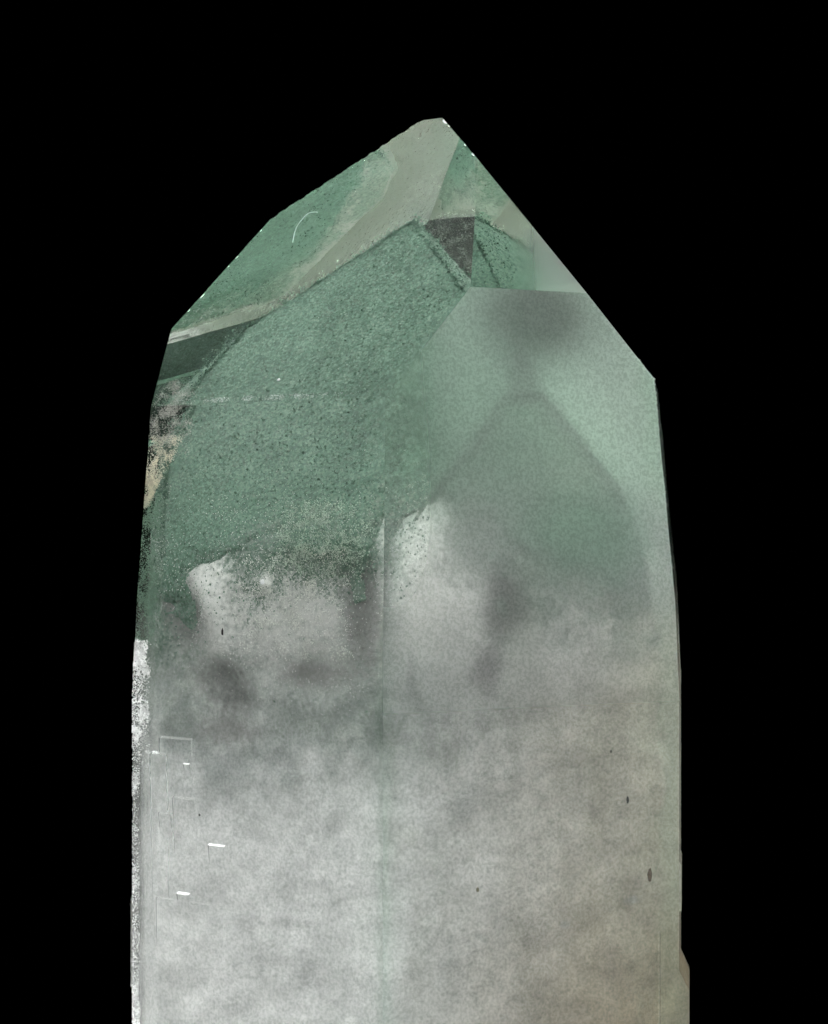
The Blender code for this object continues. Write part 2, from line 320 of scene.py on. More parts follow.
class Look:
    """A material under construction: each call adds a node and gives back its output."""

    def __init__(self, name):
        self.material = bpy.data.materials.new(name)
        self.material.use_nodes = True
        self.tree = self.material.node_tree
        self.shader = self.tree.nodes["Principled BSDF"]
        self.place = self.add("ShaderNodeTexCoord", {}).outputs["Object"]
        self.x, self.y, self.z = self.add("ShaderNodeSeparateXYZ", {0: self.place}).outputs

    def add(self, kind, inputs, **settings):
        node = self.tree.nodes.new(kind)
        for name, value in settings.items():
            setattr(node, name, value)
        for name, value in inputs.items():
            self.feed(node.inputs[name], value)
        return node

    def feed(self, socket, value):
        if isinstance(value, bpy.types.NodeSocket):
            self.tree.links.new(value, socket)
        else:
            socket.default_value = value

    def set(self, **inputs):
        for name, value in inputs.items():
            self.feed(self.shader.inputs[name.replace("_", " ")], value)

    def vector(self, operation, one, other=(0.0, 0.0, 0.0)):
        return self.add("ShaderNodeVectorMath", {0: one, 1: other}, operation=operation).outputs

    def noise(self, scale, detail=2.0, rough=0.5, place=None):
        values = {"Vector": place or self.place, "Scale": scale, "Detail": detail, "Roughness": rough}
        return self.add("ShaderNodeTexNoise", values).outputs["Fac"]

    def streaks(self, level, upright, detail):
        """Noise drawn out upwards, by its scale on the level and along the height."""
        return self.noise(1.0, detail, place=self.vector("MULTIPLY", self.place, (level, level, upright))[0])

    def cells(self, scale):
        """A random grey for each grain of a Voronoi pattern."""
        node = self.add("ShaderNodeTexVoronoi", {"Vector": self.place, "Scale": scale})
        return self.add("ShaderNodeSeparateColor", {0: node.outputs["Color"]}).outputs[0]

    def math(self, operation, one, other=0.0):
        return self.add("ShaderNodeMath", {0: one, 1: other}, operation=operation).outputs[0]

    def plus(self, one, other):
        return self.math("ADD", one, other)

    def minus(self, one, other):
        return self.math("SUBTRACT", one, other)

    def times(self, one, other):
        return self.math("MULTIPLY", one, other)

    def between(self, value, low, high, to_low=0.0, to_high=1.0):
        """value mapped smoothly from low..high to to_low..to_high."""
        inputs = {"Value": value, 1: low, 2: high, 3: to_low, 4: to_high}
        return self.add("ShaderNodeMapRange", inputs, interpolation_type="SMOOTHSTEP").outputs[0]

    def ramp(self, fac, *stops):
        node = self.add("ShaderNodeValToRGB", {"Fac": fac})
        marks = node.color_ramp.elements
        while len(marks) < len(stops):
            marks.new(0.5)
        for mark, (position, colour) in zip(marks, stops):
            mark.position = position
            mark.color = (*colour, 1.0)
        return node.outputs["Color"]

    def mix(self, fac, one, other, blend="MIX"):
        node = self.add("ShaderNodeMix", {}, data_type="RGBA", blend_type=blend)
        for number, value in ((0, fac), (6, one), (7, other)):
            if number and not isinstance(value, bpy.types.NodeSocket):
                value = (*value, 1.0)
            self.feed(node.inputs[number], value)
        return node.outputs[2]

    def blob(self, centre, radii, ragged, scale, soft):
        """A soft-edged, ragged spot round centre: 1 inside, 0 beyond radii."""
        away = self.vector("SUBTRACT", self.place, centre)[0]
        scaled = self.vector("MULTIPLY", away, [1.0 / radius for radius in radii])[0]
        far = self.vector("LENGTH", scaled)["Value"]
        uneven = self.times(self.minus(self.noise(scale, 3.0), 0.5), ragged * 2)
        return self.between(self.plus(far, uneven), 0.85 + soft, 0.85 - soft)

    def out_towards(self, name):
        """How far out a point lies, measured the way that the named face looks."""
        return self.vector("DOT_PRODUCT", self.place, outward(FACES[name].azimuth))["Value"]

    def attribute(self, name):
        return self.add("ShaderNodeAttribute", {}, attribute_name=name).outputs["Fac"]

    def bump(self, height, strength, distance):
        node = self.add("ShaderNodeBump", {"Strength": strength, "Distance": distance, "Height": height})
        self.feed(self.shader.inputs["Normal"], node.outputs[0])


def glass(name, roughness, tint=(1.0, 1.0, 1.0), transmission=1.0):
    look = Look(name)
    look.set(Base_Color=(*tint, 1.0), Roughness=roughness)
    look.set(Transmission_Weight=transmission, IOR=QUARTZ_IOR)
    absorb = look.add("ShaderNodeVolumeAbsorption", {"Color": (0.80, 0.90, 0.84, 1.0), "Density": 5.0})
    look.feed(look.tree.nodes["Material Output"].inputs["Volume"], absorb.outputs[0])
    return look


def clear_look():
    """Clear above, rough lower down and along the frosted face, with a fine grain in its lower half."""
    look = glass("quartz_clear", 0.02)
    ragged = look.times(look.noise(250.0), 0.012)
    height = look.plus(look.z, ragged)
    lower = look.between(height, 0.052, 0.038, 0.02, 0.27)
    beside = look.between(look.out_towards("front_right"), 0.0125, 0.0155, 0.0, 0.12)
    below = look.between(height, 0.051, 0.038)
    grained = look.mix(below, (1.0, 1.0, 1.0), speckled(look))
    look.set(Roughness=look.math("MAXIMUM", lower, beside), Base_Color=grained)
    streaks = look.times(look.streaks(900.0, 160.0, 3.0), below)
    look.bump(look.plus(look.noise(160.0), streaks), 0.04, 0.001)
    return look.material


def hazy_look():
    """The small face of the point in front: clear on its left, hazy on its right."""
    look = glass("quartz_hazy", 0.02)
    look.set(Roughness=look.between(look.x, 0.0050, 0.0085, 0.02, 0.36))
    return look.material


# Tints of the frosted face: where along it and how high, half their width and height, and the tint.
# It is darkest high up, where it looks past the hood's point: that dark tint is a painted shadow. It is
# green over the hood's foot.
FROSTED_TINTS_AND_SHADE = (
    (0.0013, 0.0584, 0.0044, 0.0036, (0.19, 0.20, 0.19)),
    (-0.0008, 0.0400, 0.0022, 0.0036, (0.74, 0.77, 0.74)),
    (0.0038, 0.0447, 0.0048, 0.0030, (0.74, 0.90, 0.80)),
)


def frosted_look():
    """Hazy, with a few soft tints, one of them a painted shadow high up."""
    look = glass("quartz_frosted", 0.36, transmission=0.92)
    height = look.z
    colour = look.mix(look.between(height, 0.044, 0.050), speckled(look), (0.79, 0.94, 0.84), "MULTIPLY")
    for across, middle, wide, tall, tint in FROSTED_TINTS_AND_SHADE:
        centre = on_face("front_right", across, middle, 0.0)
        mask = look.blob(centre, (wide, wide, tall), 0.15, 300.0, 0.6)
        colour = look.mix(mask, colour, tint, "MULTIPLY")
    # The lower half has faint upright streaks and clouds of its own.
    streaks = look.streaks(700.0, 120.0, 4.0)
    clouds = look.noise(330.0, 5.0, 0.6)
    faint = look.between(look.plus(streaks, clouds), 0.75, 1.25)
    below = look.between(height, 0.040, 0.030)
    colour = look.mix(below, colour, look.mix(faint, (0.80, 0.80, 0.78), (1.0, 1.0, 1.0)), "MULTIPLY")
    # It clears towards the front edge, so that no line parts it from the clear face there.
    edge = look.between(look.out_towards("front_left"), 0.0100, 0.0160)
    edge = look.times(edge, look.between(height, 0.036, 0.050, 0.0, 0.52))
    rough = look.minus(look.between(height, 0.032, 0.050, 0.26, 0.57), edge)
    # High up it is haziest along its right edge, where it would else show the dark behind it.
    rim = look.between(look.out_towards("right"), 0.0140, 0.0166, 0.0, 0.30)
    rim = look.times(rim, look.between(height, 0.034, 0.044))
    look.set(Base_Color=colour, Roughness=look.plus(rough, rim))
    look.bump(look.noise(1500.0, 3.0), 0.16, 0.0002)
    return look.material


def speckled(look):
    """A nearly white tint with a very fine grain."""
    fine = look.between(look.noise(5200.0, 2.0, 0.8), 0.38, 0.62)
    return look.mix(fine, (0.62, 0.65, 0.62), (1.0, 1.0, 1.0))


def glint_look():
    look = glass("quartz_glint", 0.35, transmission=0.35, tint=(0.90, 0.92, 0.92))
    look.bump(look.noise(3000.0, 2.0), 0.2, 0.0001)
    return look.material


def etched_look():
    look = glass("quartz_etched", 0.08, transmission=0.98, tint=(0.90, 0.90, 0.86))
    pits = look.times(look.noise(2600.0), 0.5)
    look.bump(look.plus(look.streaks(1400.0, 260.0, 4.0), pits), 0.20, 0.0002)
    return look.material


def pitted_look():
    look = glass("quartz_pitted", 0.22, transmission=0.92, tint=(0.95, 0.97, 0.95))
    look.bump(look.noise(2600.0, 3.0), 0.5, 0.0003)
    return look.material


def chipped_look():
    look = glass("quartz_chipped", 0.45, transmission=0.7, tint=(0.93, 0.95, 0.96))
    look.bump(look.noise(5000.0, 3.0), 0.6, 0.0002)
    return look.material


def combine(target, tools, operation):
    """Applies exact Booleans one by one, and removes the tools."""
    for tool in tools:
        step = target.modifiers.new("step", "BOOLEAN")
        step.operation = operation
        step.solver = "EXACT"
        step.object = tool
    graph = bpy.context.evaluated_depsgraph_get()
    made = bpy.data.meshes.new_from_object(target.evaluated_get(graph))
    target.modifiers.clear()
    target.data = made
    for tool in tools:
        bpy.data.objects.remove(tool, do_unlink=True)


def growth_step(name, bottom, top, proud, across=None, top_rise=STEP_TOP_RISE, fades=False):
    """A slab that stands proud of the faces in proud, its top leaning in like the point.

    One that fades stands out fully at its top and thins to nothing at its bottom.
    """
    face = FACES[next(iter(proud))]
    out = outward(face.azimuth)
    mesh = crystal_shape(bottom, BLOCK, lambda side: (-proud.get(side, -STEP_SHY), STEP_SHY))
    cut_away(mesh, out * (face.distance - STEP_DEPTH), -out)
    cut_away(mesh, out * face.distance + UP * top, tilted(face.azimuth, top_rise))
    if across:
        sideways = along(face.azimuth)
        cut_away(mesh, sideways * across[0], -sideways)
        cut_away(mesh, sideways * across[1], sideways)
    if fades:
        lean = math.degrees(math.atan2(max(proud.values()), top - bottom))
        cut_away(mesh, out * (face.distance - STEP_SHY) + UP * bottom, tilted(face.azimuth, -lean))
    bmesh.ops.recalc_face_normals(mesh, faces=mesh.faces[:])
    return object_from(mesh, name)


def chip(name, centre, length, width, direction):
    """A scoop-shaped cutter, longer than it is wide, that leaves a shell-like chip on an edge."""
    mesh = bmesh.new()
    turn = direction.to_track_quat("Z", "Y").to_matrix().to_4x4()
    size = Matrix.Diagonal((width / 2, width / 2, length / 2, 1.0))
    bmesh.ops.create_icosphere(
        mesh, subdivisions=2, radius=1.0, matrix=Matrix.Translation(centre) @ turn @ size
    )
    return object_from(mesh, name)


def chips_along(name, start, end, out, count, longest, depth_share=0.13):
    """A row of chips on the edge from start to end, uneven in place, length and depth."""
    uneven = random.Random(name)
    run = end - start
    for number in range(count):
        place = (number + uneven.uniform(0.0, 1.0)) / count
        length = longest * uneven.uniform(0.3, 1.0)
        depth = depth_share * length
        width = 0.8 * length
        centre = start + run * place + out * (width / 2 - depth)
        yield chip(f"{name}_{number}", centre, length, width, run.normalized())


def tip_chips():
    pyramid = {name: pyramid_plane(face, 0.0) for name, face in FACES.items()}
    left_prism = list(prism_planes(FACES["left"], 0.0))[-1]
    apex = meeting_point(pyramid["front_left"], pyramid["right"], pyramid["back_left"])
    left_corner = meeting_point(pyramid["front_left"], pyramid["left"], pyramid["back_left"])
    right_corner = meeting_point(pyramid["front_left"], pyramid["front_right"], pyramid["right"])
    shoulder = meeting_point(pyramid["front_left"], pyramid["left"], left_prism)
    left_out = tilted(FACES["left"].azimuth, 52.0)
    right_out = tilted((FACES["front_left"].azimuth + FACES["right"].azimuth) / 2, 52.0)
    low_left_out = tilted((FACES["left"].azimuth + FACES["front_left"].azimuth) / 2, 30.0)
    return [
        *chips_along("ridge_chip", apex, left_corner, left_out, 13, 0.0012),
        *chips_along("right_chip", apex, right_corner, right_out, 4, 0.0011),
        *chips_along("left_chip", left_corner, shoulder, low_left_out, 5, 0.0008),
        *chips_along("ridge_nick", apex, left_corner, left_out, 29, 0.0006, 0.10),
    ]


def front_step(name, bottom, top, proud, left, right):
    """One of the small steps on the front left face, which show as thin bright lines."""
    return growth_step(name, bottom, top, {"front_left": proud}, (left, right), LEDGE_RISE, True)


def stands_out(polygon, name):
    """Whether a polygon lies on a growth step rather than on the prism face under it."""
    planes = prism_planes(FACES[name], 0.0)
    return max(normal.dot(polygon.center - point) for point, normal in planes) > 0.05 * MM


def make_crystal():
    crystal = object_from(crystal_shape(BASE_CUT, APEX_CHIP, no_insets), "quartz_crystal")
    steps = (
        growth_step("step_back", 0.0280, BACK_STEP, BACK_PROUD),
        front_step("step_tall", 0.0262, 0.0319, 0.00024, -0.0083, -0.0056),
        front_step("step_narrow", 0.0205, 0.0309, 0.00036, -0.0090, -0.0076),
        front_step("step_short", 0.0240, 0.0282, 0.00034, -0.0071, -0.0052),
        front_step("step_low", 0.0170, 0.0216, 0.00018, -0.0086, -0.0030),
        growth_step("step_side", 0.0155, 0.0215, {"left": 0.00016}, (0.0046, 0.0092)),
        growth_step("step_right", 0.0209, 0.0241, {"right": 0.00014}, (-0.0088, -0.0030)),
        growth_step("step_foot", BELOW / 2, 0.0172, FOOT_PROUD, FOOT_ACROSS),
        front_step("ledge_block", 0.0245, 0.0272, 0.00042, -0.0082, -0.0072),
        front_step("ledge_middle", 0.0238, 0.0254, 0.00020, -0.0042, -0.0029),
        front_step("ledge_low", 0.0205, 0.0221, 0.00024, -0.0068, -0.0058),
        front_step("ledge_high", 0.0293, 0.0304, 0.00032, -0.0062, -0.0057),
    )
    combine(crystal, steps, "UNION")
    below = bmesh.new()
    bmesh.ops.create_cube(below, size=BLOCK, matrix=Matrix.Translation(UP * (BASE_CUT - BLOCK / 2)))
    combine(crystal, [object_from(below, "below"), *tip_chips()], "DIFFERENCE")

    looks = (clear_look, frosted_look, hazy_look, etched_look, pitted_look, chipped_look, glint_look)
    for make in looks:
        crystal.data.materials.append(make())
    clear, frosted, hazy, etched, pitted, chipped, glint = range(len(looks))
    normals, _ = planes_of(no_insets)
    ways = {name: outward(face.azimuth) for name, face in FACES.items()}
    for polygon in crystal.data.polygons:
        height, slope = polygon.center.z, polygon.normal.z
        way = Vector((polygon.normal.x, polygon.normal.y, 0.0))
        looks_at = max(ways, key=lambda name: way.dot(ways[name]))
        polygon.material_index = clear
        if slope > 0.3 and height > TAPER_STARTS:
            own = (normals @ np.array(polygon.normal)).max() > 0.9995
            smooth_look = hazy if looks_at == "front_right" else clear
            # A step's sloping top is clear too, and larger than any face of a chip. The level break
            # at the apex is not.
            whole = own or (polygon.area > 0.4 * MM**2 and slope < 0.9)
            polygon.material_index = smooth_look if whole else chipped
        elif slope > 0.3 and looks_at == "front_left" and polygon.area < 0.26 * MM**2:
            polygon.material_index = glint
        elif looks_at == "front_right":
            polygon.material_index = frosted
        elif looks_at == "back_left" and stands_out(polygon, looks_at):
            polygon.material_index = etched
        elif looks_at == "back_right":
            polygon.material_index = pitted
    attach(crystal, "root")
    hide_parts("quartz_tip", "quartz_base")


def reach(angles, heights, planes, axis=APEX):
    """How far the shape's surface lies from the upright axis, for each angle and height."""
    normals, offsets = planes
    ways = np.stack((np.cos(angles), np.sin(angles)), axis=-1)
    start = axis[0] * normals[:, 0] + axis[1] * normals[:, 1] + heights[..., None] * normals[:, 2]
    slopes = ways @ normals[:, :2].T
    far = np.where(slopes > 1e-6, (offsets - start) / np.maximum(slopes, 1e-6), np.inf)
    return far.min(axis=-1)


def rough_field(points, scale, octaves, seed):
    """Fractal noise at each point, about -1 to 1."""
    shift = Vector((seed * 13.7, seed * 7.1, seed * 3.3))
    flat = points.reshape(-1, 3)
    found = [noise.fractal(Vector(p) * scale + shift, 0.9, 2.1, octaves) for p in flat]
    return np.array(found).reshape(points.shape[:-1])


def smooth(value, low, high):
    share = np.clip((value - low) / (high - low), 0.0, 1.0)
    return share * share * (3.0 - 2.0 * share)


def grid_points(angles, heights, far, axis=APEX):
    x = axis[0] + np.cos(angles) * far
    y = axis[1] + np.sin(angles) * far
    return np.stack((x, y, heights), axis=-1)


def green_limit(angles):
    azimuths = np.degrees(angles) % 360.0
    return np.interp(azimuths, *zip(*GREEN_REACHES))


def green_cover(points, angles):
    """How well the fuchsite covers the older crystal: above 0.5 it hides it."""
    ragged = 0.0022 * rough_field(points, 330.0, 5, 1.0) + 0.0012 * rough_field(points, 1700.0, 3, 2.0)
    above = points[..., 2] + ragged - green_limit(angles)
    return 0.5 + above / 0.0040


def thin_dust(points):
    """Where the hood's right side carries only a thin dusting: 1 there, 0 elsewhere."""
    across = smooth(points[..., 0], 0.0045, 0.0105)
    return across * smooth(points[..., 2], 0.0455, 0.0490) * smooth(points[..., 2], 0.0590, 0.0560)


def near_edge(points, spread):
    """How close to one of the hood's edges each point lies: 1 on it, falling off beside it."""
    normals, offsets = planes_of(hood_insets)
    gaps = (points @ normals.T - offsets).reshape(*points.shape[:-1], len(FACES), -1)
    # The three stretches of a prism face count as one, and its pyramid face as another.
    sides = np.concatenate((gaps[..., :3].max(axis=-1), gaps[..., 3]), axis=-1)
    sides.sort(axis=-1)
    return np.exp((sides[..., -2] - sides[..., -1]) / spread)


def keep_green(made, green):
    """Stores how green each vertex is, for the looks to read."""
    made.data.attributes.new("green", "FLOAT", "POINT").data.foreach_set("value", green)


def hood_surface(angles, heights):
    """How far out the hood lies: where it is bare it dips under the older crystal."""
    far = reach(angles, heights, planes_of(hood_insets))
    points = grid_points(angles, heights, far)
    sink = 0.0006 * smooth(green_cover(points, angles), 0.90, 0.10)
    grain = 0.00007 * rough_field(points, 3200.0, 2, 3.0) + 0.00010 * rough_field(points, 700.0, 3, 4.0)
    frayed = 0.00030 * near_edge(points, 0.25 * MM) * rough_field(points, 2400.0, 2, 15.0)
    return np.maximum(far - sink + (grain + frayed) * smooth(far, 0.0, 0.002), 0.02 * MM)


def core_surface(angles, heights):
    """How far out the older crystal lies: lumpy below, smooth under the hood."""
    far = reach(angles, heights, planes_of(lambda name: hood_insets(name, CORE_UNDER_HOOD)))
    points = grid_points(angles, heights, far)
    lumps = 0.00050 * rough_field(points, 300.0, 4, 6.0) + 0.00012 * rough_field(points, 1500.0, 3, 7.0)
    lumpy, body = smooth(heights, 0.043, 0.034), smooth(heights, 0.0455, 0.039)
    far = np.maximum(far + lumps * lumpy + 0.00035 * body + patch_bulge(points), 0.02 * MM)
    return np.minimum(far, reach(angles, heights, planes_of(no_insets)) - 0.30 * MM)


def skin_points(angles, heights):
    """Points on the hood or the older crystal, whichever lies further out, and their normals."""
    hood = hood_surface(angles, heights)
    far = np.maximum(hood, core_surface(angles, heights))
    normals, offsets = planes_of(hood_insets)
    nearest = (grid_points(angles, heights, hood) @ normals.T - offsets).argmax(axis=1)
    return grid_points(angles, heights, far), normals[nearest]


def patch_bulge(points):
    """Adds up how far each patch stands out, faded out from its middle."""
    total = np.zeros(points.shape[:-1])
    for patch in PATCHES:
        across = points @ np.array(along(patch.azimuth))
        rise = points[..., 2] - patch.height
        turn = math.radians(patch.turn)
        one = (across * math.cos(turn) + rise * math.sin(turn)) / patch.wide
        other = (rise * math.cos(turn) - across * math.sin(turn)) / patch.tall
        facing = points @ np.array(outward(patch.azimuth)) > 0.0
        total += facing * patch.bulge * np.exp(-(one**2 + other**2))
    return total


def strip(low, high):
    """Quads between two rings of a grid, each given by its first vertex."""
    faces = []
    for column in range(COLUMNS):
        other = (column + 1) % COLUMNS
        faces.append((low + column, low + other, high + other, high + column))
    return faces


def fan(ring, tip, turned=False):
    """Triangles between a ring and a point, facing the other way if turned."""
    faces = [(ring + column, ring + (column + 1) % COLUMNS, tip) for column in range(COLUMNS)]
    return [face[::-1] for face in faces] if turned else faces


def ring_faces(rows, start=0):
    """Quads between all neighbouring rings of a grid."""
    rings = range(start, start + (rows - 1) * COLUMNS, COLUMNS)
    return [face for ring in rings for face in strip(ring, ring + COLUMNS)]


def make_hood():
    """The phantom: a thin shell, open below, with a ragged rim, that dips under where it is bare."""
    rim = np.clip(green_limit(TURNS) - RIM_UNDER_GREEN, *RIM_HEIGHTS)
    walls = []
    for rows, deeper in ((HOOD_ROWS, 0.0), (HOOD_INNER_ROWS, HOOD_THICKNESS)):
        top = hood_apex(deeper).z - 0.03 * MM
        share = 1.0 - (1.0 - np.linspace(0.0, 1.0, rows)) ** ROWS_CROWD
        heights = rim + (top - rim) * share[:, None]
        angles = np.broadcast_to(TURNS, heights.shape)
        if deeper:
            far = reach(angles, heights, planes_of(lambda name: hood_insets(name, deeper)))
        else:
            far = hood_surface(angles, heights)
        walls.append(grid_points(angles, heights, far))
    # The inner wall runs back down, so that the two walls join along the rim.
    outer, inner = walls[0], walls[1][::-1]
    cover = smooth(green_cover(outer, TURNS), 0.50, 1.40)
    green = (BORDER_GREEN + (1.0 - BORDER_GREEN) * cover) * (1.0 - 0.35 * thin_dust(outer))
    points = outer.reshape(-1, 3).tolist() + inner.reshape(-1, 3).tolist()
    peak = len(points)
    points += [tuple(APEX), tuple(hood_apex(HOOD_THICKNESS))]
    inner_start = HOOD_ROWS * COLUMNS
    faces = ring_faces(HOOD_ROWS) + ring_faces(HOOD_INNER_ROWS, inner_start)
    faces += fan(inner_start - COLUMNS, peak) + fan(inner_start, peak + 1, turned=True)
    faces += strip(peak - COLUMNS, 0)
    hood = object_of_lists("phantom_hood", points, faces)
    hood.data.shade_smooth()
    keep_green(hood, np.concatenate((green.reshape(-1), np.ones(len(points) - green.size))))
    hood.data.materials.append(fuchsite_look())
    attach(hood, "root")
    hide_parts("fuchsite_phantom")


def bare_share(look):
    """1 where the older crystal is clear and beige, above and behind, 0 in the milky body."""
    behind = look.times(look.math("MAXIMUM", look.y, 0.0), 1.2)
    return look.between(look.plus(look.z, behind), 0.0445, 0.0475)


def dust(look):
    """How green the dust is, a little uneven, so that it thins out one grain at a time."""
    return look.plus(look.attribute("green"), look.times(look.minus(look.cells(6000.0), 0.5), 0.5))


def painted_shade_in_front(look, colour):
    """Painted shade: high up on the front left side the colour is darkened, to temper the light that falls
    there.
    """
    front = look.between(look.out_towards("front_left"), 0.004, 0.012)
    front = look.times(front, look.between(look.z, 0.044, 0.052))
    return look.mix(front, colour, (0.76, 0.76, 0.76), "MULTIPLY")


def fuchsite_look():
    look = Look("fuchsite")
    grains = look.cells(6500.0)
    fine = look.noise(8000.0, 3.0, 0.7)
    mottle = look.minus(look.noise(320.0, 4.0, 0.6), 0.5)
    level = look.plus(look.times(grains, 0.40), look.times(fine, 0.65))
    level = look.plus(level, look.times(mottle, 0.5))
    colour = look.ramp(
        level,
        (0.25, (0.032, 0.078, 0.049)),
        (0.50, (0.072, 0.152, 0.101)),
        (0.72, (0.125, 0.228, 0.162)),
        (0.90, (0.235, 0.340, 0.265)),
    )
    # Painted shade high up on the front left side.
    colour = painted_shade_in_front(look, colour)
    # The dust thins out towards its border and on the right, and the older quartz shows through.
    bare = look.mix(bare_share(look), (0.22, 0.26, 0.23), BARE_QUARTZ)
    colour = look.mix(look.between(dust(look), 0.0, 1.0), bare, colour)
    look.set(Base_Color=colour, Roughness=0.5)
    look.bump(look.plus(grains, fine), 0.3, 0.0002)
    return look.material


def flake_look():
    look = Look("fuchsite_flake")
    colour = look.ramp(
        look.cells(4200.0),
        (0.0, (0.045, 0.100, 0.066)),
        (0.45, (0.075, 0.152, 0.104)),
        (0.80, (0.125, 0.228, 0.162)),
        (1.0, (0.255, 0.360, 0.285)),
    )
    # Painted shade high up on the front left side, as on the hood.
    look.set(Base_Color=painted_shade_in_front(look, colour), Roughness=0.45)
    return look.material


def unit(vectors):
    return vectors / np.maximum(np.linalg.norm(vectors, axis=1, keepdims=True), 1e-12)


def grains_mesh(name, material, base, lean, long, short, thin, uneven):
    """Flat eight-sided grains: base is their middle and lean the way their flat side looks."""
    other = unit(np.cross(lean, uneven.normal(0.0, 1.0, base.shape)))
    third = np.cross(lean, other)
    ends = (other * long, third * short, -other * long, -third * short, lean * thin, -lean * thin)
    corners = np.stack([base + end for end in ends], axis=1)
    block = ((0, 1, 4), (1, 2, 4), (2, 3, 4), (3, 0, 4), (1, 0, 5), (2, 1, 5), (3, 2, 5), (0, 3, 5))
    faces = np.arange(len(base))[:, None, None] * len(ends) + np.array(block)
    grains = object_of_lists(name, corners.reshape(-1, 3).tolist(), faces.reshape(-1, 3).tolist())
    grains.data.materials.append(material)
    return grains


def scatter(uneven, count, low, weight_of, tries=8):
    """Random angles and heights over the hood and the older crystal, as dense as weight_of says."""
    angles = uneven.uniform(0.0, 2 * math.pi, count * tries)
    top = APEX.z - 0.1 * MM
    heights = low + (top - low) * uneven.random(count * tries)
    normals, offsets = planes_of(hood_insets)
    far = reach(angles, heights, (normals, offsets))
    points = grid_points(angles, heights, far)
    # A sloping face has more surface for its height than an upright one.
    facing = normals[(points @ normals.T - offsets).argmax(axis=1)]
    weight = far / np.sqrt(1.0 - facing[:, 2] ** 2) * weight_of(points, angles)
    pick = uneven.choice(weight.size, size=count, replace=False, p=weight / weight.sum())
    return angles[pick], heights[pick]


def make_flakes():
    """Mica flakes that lie on the hood, stand out of it along its edges and thin out below."""
    uneven = np.random.default_rng(7)
    count = 24000

    def dusty(points, angles):
        return (0.02 + smooth(green_cover(points, angles), -0.7, 0.8)) * (1.0 - 0.8 * thin_dust(points))

    base, normal = skin_points(*scatter(uneven, count, 0.034, dusty))
    # In places the flakes stand in small tufts.
    tufted = smooth(rough_field(base, 1600.0, 2, 12.0), 0.0, 0.5)
    tall = uneven.random(count) < 0.05 + 0.30 * tufted
    out = uneven.uniform(-0.03 * MM, 0.06 * MM, count) + tall * uneven.uniform(0.0, 0.32 * MM, count)
    base = base + normal * out[:, None]
    lean = unit(normal + uneven.normal(0.0, 0.75, (count, 3)))
    size = uneven.uniform(0.04 * MM, 0.10 * MM, (count, 1))
    size = size * np.where(tall[:, None], 1.3, 1.0)
    short = size * uneven.uniform(0.5, 1.0, (count, 1))
    thin = size * 0.25
    flakes = grains_mesh("fuchsite_flakes", flake_look(), base, lean, size, short, thin, uneven)
    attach(flakes, "root")


def make_tufts():
    """The fringe: small upright tufts along the edges of the hood, above its milky part."""
    uneven = np.random.default_rng(8)
    count = 9000

    def fringed(points, angles):
        return near_edge(points, 0.06 * MM) * smooth(points[:, 2] - green_limit(angles), 0.0, 0.002)

    base, _ = skin_points(*scatter(uneven, count, 0.047, fringed, tries=60))
    tufted = 0.20 + 1.4 * smooth(rough_field(base, 2200.0, 2, 14.0), -0.1, 0.5)
    out = np.minimum(uneven.exponential(0.26 * MM, count) * tufted, 0.75 * MM)
    outside = unit(base - np.array(APEX) * (0.0, 0.0, 0.75))
    base = base + outside * out[:, None]
    size = uneven.uniform(0.05 * MM, 0.12 * MM, (count, 1))
    lean = unit(outside + uneven.normal(0.0, 0.9, (count, 3)))
    sizes = (size, size * 0.6, size * 0.3)
    tufts = grains_mesh("fuchsite_tufts", flake_look(), base, lean, *sizes, uneven)
    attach(tufts, "root")


def make_milky_grains():
    """Pale grains where the milky quartz begins, thickest on its lumps."""
    uneven = np.random.default_rng(11)
    count = 15000

    def cloudy(points, angles):
        height = points[:, 2]
        band = smooth(height, 0.033, 0.040) * smooth(height, 0.049, 0.044)
        patchy = smooth(rough_field(points, 500.0, 3, 9.0), 0.05, 0.5)
        return band * (0.02 + 0.12 * patchy) + 900.0 * np.maximum(patch_bulge(points), 0.0)

    base, normal = skin_points(*scatter(uneven, count, 0.030, cloudy))
    out = np.minimum(uneven.exponential(0.10 * MM, count), 0.20 * MM)
    base = base + normal * out[:, None]
    lean = unit(normal + uneven.normal(0.0, 1.0, (count, 3)))
    size = uneven.uniform(0.020 * MM, 0.055 * MM, (count, 1))
    short = size * uneven.uniform(0.5, 1.0, (count, 1))
    look = grain_look("milky_grain", (0.82, 0.83, 0.79))
    grains = grains_mesh("milky_grains", look, base, lean, size, short, size * 0.5, uneven)
    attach(grains, "root")


def grain_look(name, colour):
    """Pale grains, some of them duller than others."""
    look = Look(name)
    dull = [share * 0.6 for share in colour]
    look.set(Base_Color=look.ramp(look.cells(4000.0), (0.0, dull), (1.0, colour)), Roughness=0.4)
    return look.material


